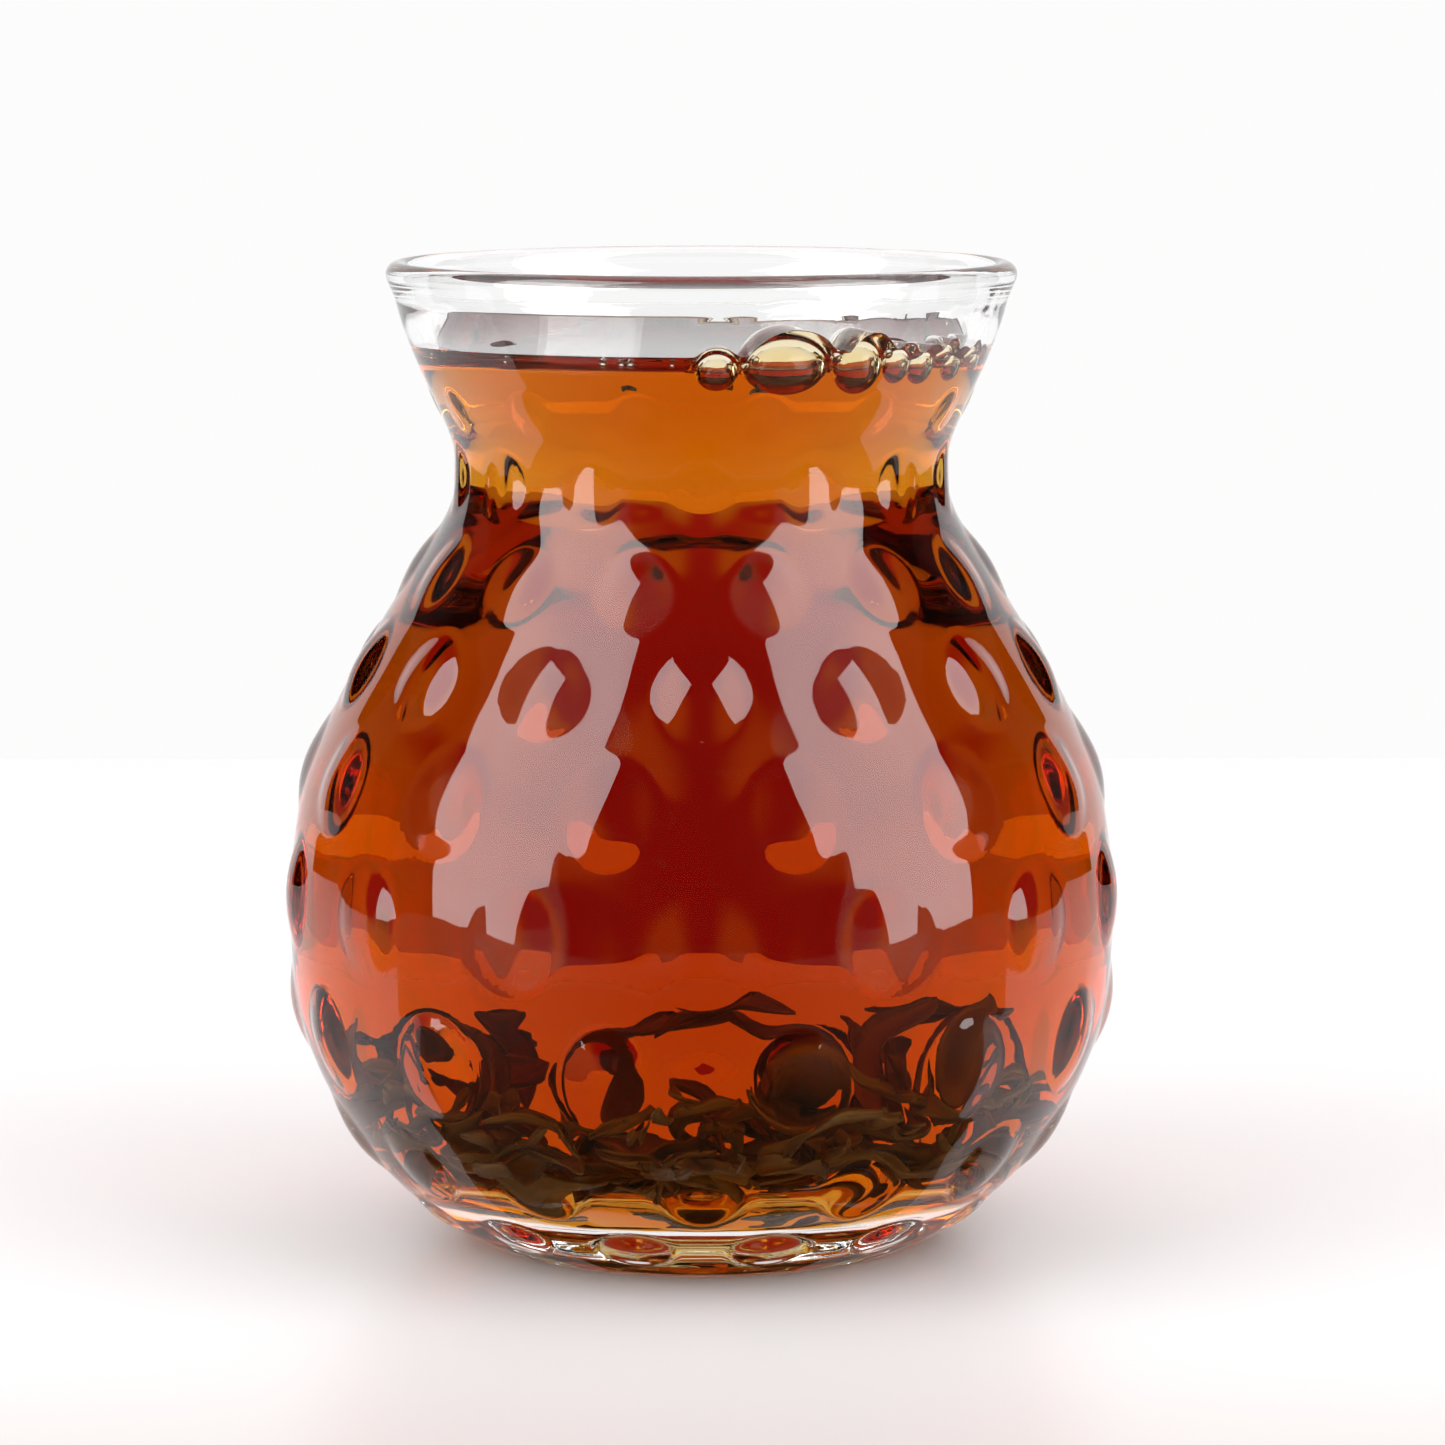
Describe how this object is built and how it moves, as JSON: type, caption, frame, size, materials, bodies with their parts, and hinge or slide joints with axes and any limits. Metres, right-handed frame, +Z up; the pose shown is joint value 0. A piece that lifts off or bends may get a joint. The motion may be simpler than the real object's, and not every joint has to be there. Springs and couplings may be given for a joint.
{
  "type": "tea glass",
  "caption": "Round-bellied glass with rings of low oval bumps, a narrow neck and flared rim, filled with dark tea to just under the rim, with small bubbles at its edge.",
  "frame": {"origin": "middle of the resting face, on the glass's axis", "axes": "+Z up along the glass's axis, -Y faces the picture's camera, +X to the picture's right"},
  "size_m": [0.0748, 0.0758, 0.0879],
  "materials": {
    "glass": "clear, polished",
    "tea": "clear red-brown liquid"
  },
  "bodies": {
    "root": {"glass": "glass", "tea": "tea"}
  },
  "joints": []
}
